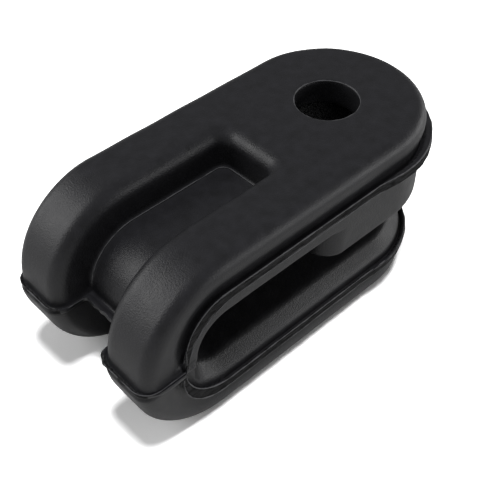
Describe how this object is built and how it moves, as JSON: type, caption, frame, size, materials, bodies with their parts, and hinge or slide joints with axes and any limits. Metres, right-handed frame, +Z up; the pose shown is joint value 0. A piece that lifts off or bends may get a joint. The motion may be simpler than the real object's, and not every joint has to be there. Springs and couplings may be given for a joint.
{
  "type": "exhaust rubber mount",
  "caption": "Moulded black rubber loop with a forked, grooved end, a side slot and a bolt hole through its rounded end.",
  "frame": {"origin": "centre of the bounding box in X and Y, on the underside that the part rests on", "axes": "+X from the forked end to the bolt hole, +Y across the width, +Z up along the bolt hole's axis"},
  "size_m": [0.0798, 0.0386, 0.0352],
  "materials": {
    "rubber": "matt moulded black rubber with a soft sheen"
  },
  "bodies": {
    "root": {"rubber_mount": "rubber"}
  },
  "joints": []
}
